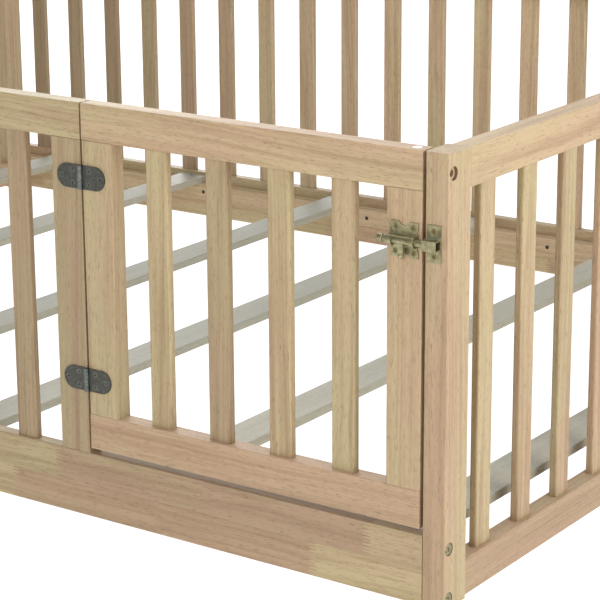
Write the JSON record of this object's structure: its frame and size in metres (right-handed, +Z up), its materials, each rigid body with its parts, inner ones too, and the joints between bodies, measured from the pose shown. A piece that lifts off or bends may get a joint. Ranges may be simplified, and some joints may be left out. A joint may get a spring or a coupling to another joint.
{
  "type": "playpen",
  "caption": "Low wooden floor-bed playpen: slatted fence on all sides, hinged gate with a barrel bolt, and cross slats for a mattress.",
  "frame": {"origin": "on the floor, at the middle of the frame's length and of its width over the wooden faces", "axes": "+X along the front towards the gate and its latch, +Y from the front to the back, +Z up"},
  "size_m": [1.987, 1.461, 0.572],
  "materials": {
    "wood_frame": "bare sanded pale hardwood with a satin sheen",
    "wood_spindle": "bare sanded pale hardwood with a satin sheen",
    "wood_slat": "grey-beige plywood, sanded",
    "dowel": "plain beech",
    "hinge_zinc": "dull zinc-plated steel",
    "steel_screw": "zinc-plated steel",
    "latch_brass": "antique brass plate",
    "brass_screw": "antique brass plate",
    "frame_bolt": "yellow zinc-plated steel",
    "nut_steel": "zinc-plated steel",
    "plug": "white plastic"
  },
  "bodies": {
    "frame": {"post_front_right": "wood_frame", "post_front_left": "wood_frame", "post_back_right": "wood_frame", "post_back_left": "wood_frame", "right_top_rail": "wood_frame", "right_low_rail": "wood_frame", "left_top_rail": "wood_frame", "left_low_rail": "wood_frame", "back_top_rail": "wood_frame", "back_low_board": "wood_frame", "back_floor_board": "wood_frame", "back_ledger": "wood_frame", "front_top_rail": "wood_frame", "front_low_board": "wood_frame", "front_floor_board": "wood_frame", "front_end_stile": "wood_frame", "front_ledger": "wood_frame", "right_spindles": "wood_spindle", "left_spindles": "wood_spindle", "back_spindles": "wood_spindle", "front_spindles": "wood_spindle", "right_dowels": "dowel", "left_dowels": "dowel", "front_dowels": "dowel", "bed_slats": "wood_slat", "slat_screws": "steel_screw", "ledger_screws": "steel_screw", "hinge_low_frame_leaf": "hinge_zinc", "hinge_high_frame_leaf": "hinge_zinc", "hinge_low_pin": "hinge_zinc", "hinge_high_pin": "hinge_zinc", "hinge_frame_screws": "steel_screw", "latch_keeper": "latch_brass", "keeper_screws": "brass_screw", "frame_bolts": "frame_bolt", "barrel_nuts": "nut_steel"},
    "gate": {"gate_top_rail": "wood_frame", "gate_bottom_rail": "wood_frame", "gate_hinge_stile": "wood_frame", "gate_latch_stile": "wood_frame", "gate_spindles": "wood_spindle", "gate_dowels": "dowel", "gate_plug": "plug", "hinge_low_gate_leaf": "hinge_zinc", "hinge_high_gate_leaf": "hinge_zinc", "hinge_gate_screws": "steel_screw", "latch_base": "latch_brass", "latch_screws": "brass_screw"},
    "bolt_tail": {"latch_end_cap": "latch_brass"},
    "bolt": {"latch_bolt": "latch_brass"}
  },
  "joints": [
    {"name": "gate_swing", "type": "hinge", "parent": "frame", "child": "gate", "pos_m": [0.436, -0.7265, 0.3], "axis": [0, 0, -1], "range_deg": [0, 170]},
    {"name": "latch_slide", "type": "slide", "parent": "gate", "child": "bolt_tail", "axis": [1, 0, 0], "range_m": [-0.007, 0.005]},
    {"name": "latch_turn", "type": "hinge", "parent": "bolt_tail", "child": "bolt", "pos_m": [0.9135, -0.731, 0.462], "axis": [-1, 0, 0], "range_deg": [0, 90]}
  ]
}
